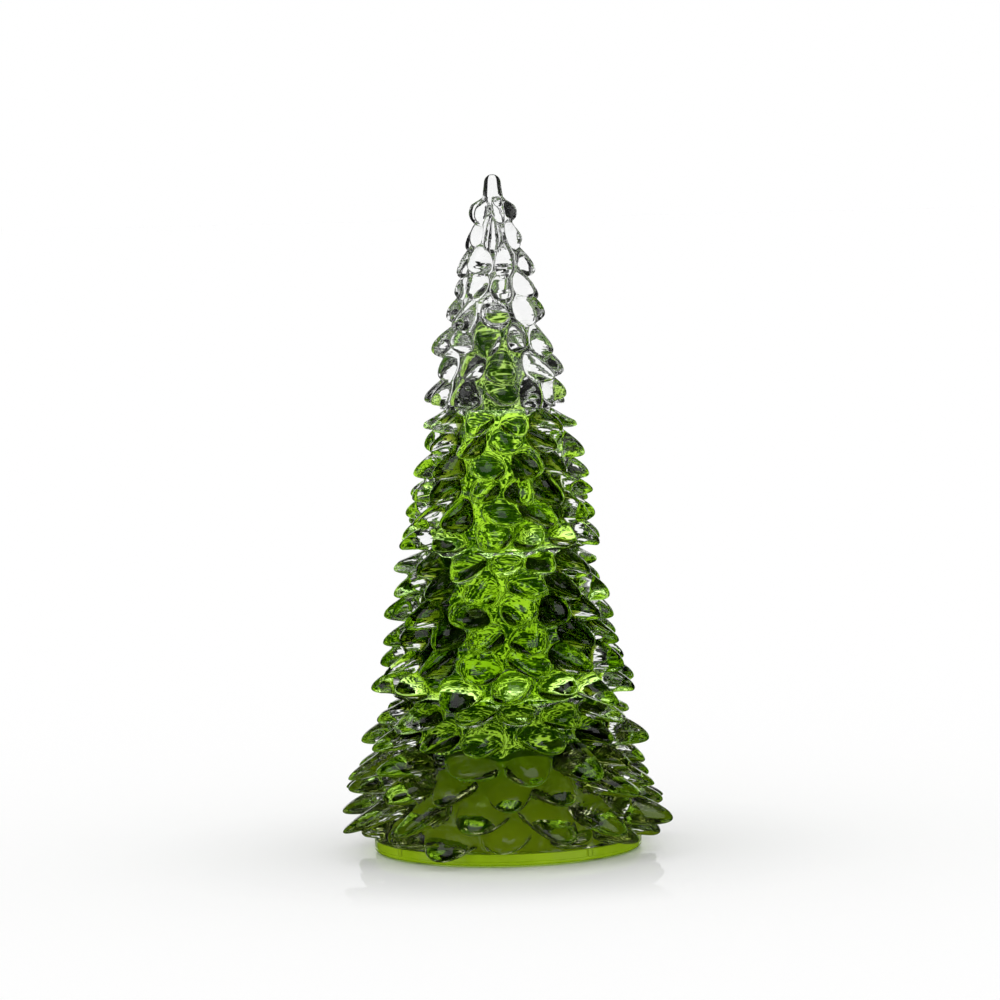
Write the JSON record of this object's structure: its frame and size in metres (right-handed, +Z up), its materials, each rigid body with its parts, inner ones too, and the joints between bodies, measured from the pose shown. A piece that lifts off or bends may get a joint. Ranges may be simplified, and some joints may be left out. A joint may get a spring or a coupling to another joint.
{
  "type": "glass christmas tree",
  "caption": "Table-top Christmas tree of stacked clear glass tiers with drooping branches over green liners, lit from a battery base with a lift-off door and a slide switch.",
  "frame": {"origin": "middle of the footprint, on the surface that the tree stands on", "axes": "+Z up the tree to its tip, -Y towards the viewer of the picture, +X to the viewer's right"},
  "size_m": [0.1571, 0.1654, 0.32],
  "materials": {
    "clear_glass": "clear pressed glass, fire-polished",
    "green_liner": "translucent green, hammered",
    "base_green": "translucent yellow-green, glossy",
    "housing_plastic": "satin moulded plastic",
    "cell_jacket": "printed foil jacket, plain",
    "steel": "zinc-plated",
    "rubber": "matte",
    "board": "white solder mask",
    "led": "clear epoxy",
    "lead_red": "wire insulation",
    "lead_white": "wire insulation",
    "black_plastic": "satin",
    "slider": "satin"
  },
  "bodies": {
    "tree": {"top_tier": "clear_glass", "upper_tier": "clear_glass", "middle_tier": "clear_glass", "bottom_tier": "clear_glass", "top_liner": "green_liner", "upper_liner": "green_liner", "middle_liner": "green_liner", "bottom_liner": "green_liner", "base_plate": "base_green", "housing_cover": "housing_plastic", "battery_box": "housing_plastic", "cell_1": "cell_jacket", "cell_2": "cell_jacket", "cell_3": "cell_jacket", "contact_spring_1": "steel", "contact_spring_2": "steel", "contact_spring_3": "steel", "contact_strip_1": "steel", "contact_strip_2": "steel", "contact_strip_3": "steel", "contact_strip_4": "steel", "led_board": "board", "led_1": "led", "led_2": "led", "led_3": "led", "lead_red": "lead_red", "lead_black": "black_plastic", "lead_white": "lead_white", "switch_body": "black_plastic", "board_screw_1": "steel", "board_screw_2": "steel", "box_screw_1": "steel", "box_screw_2": "steel", "box_screw_3": "steel", "box_screw_4": "steel", "cover_screw_1": "steel", "cover_screw_2": "steel", "cover_screw_3": "steel", "foot_1": "rubber", "foot_2": "rubber", "foot_3": "rubber", "foot_4": "rubber"},
    "battery_door": {"battery_door": "base_green", "door_screw_1": "steel", "door_screw_2": "steel"},
    "switch_slider": {"switch_slider": "slider"}
  },
  "joints": [
    {"name": "battery_door_lift", "type": "slide", "parent": "tree", "child": "battery_door", "axis": [0, 0, -1], "range_m": [0, 0.02]},
    {"name": "switch_slide", "type": "slide", "parent": "tree", "child": "switch_slider", "axis": [1, 0, 0], "range_m": [0, 0.003]}
  ]
}
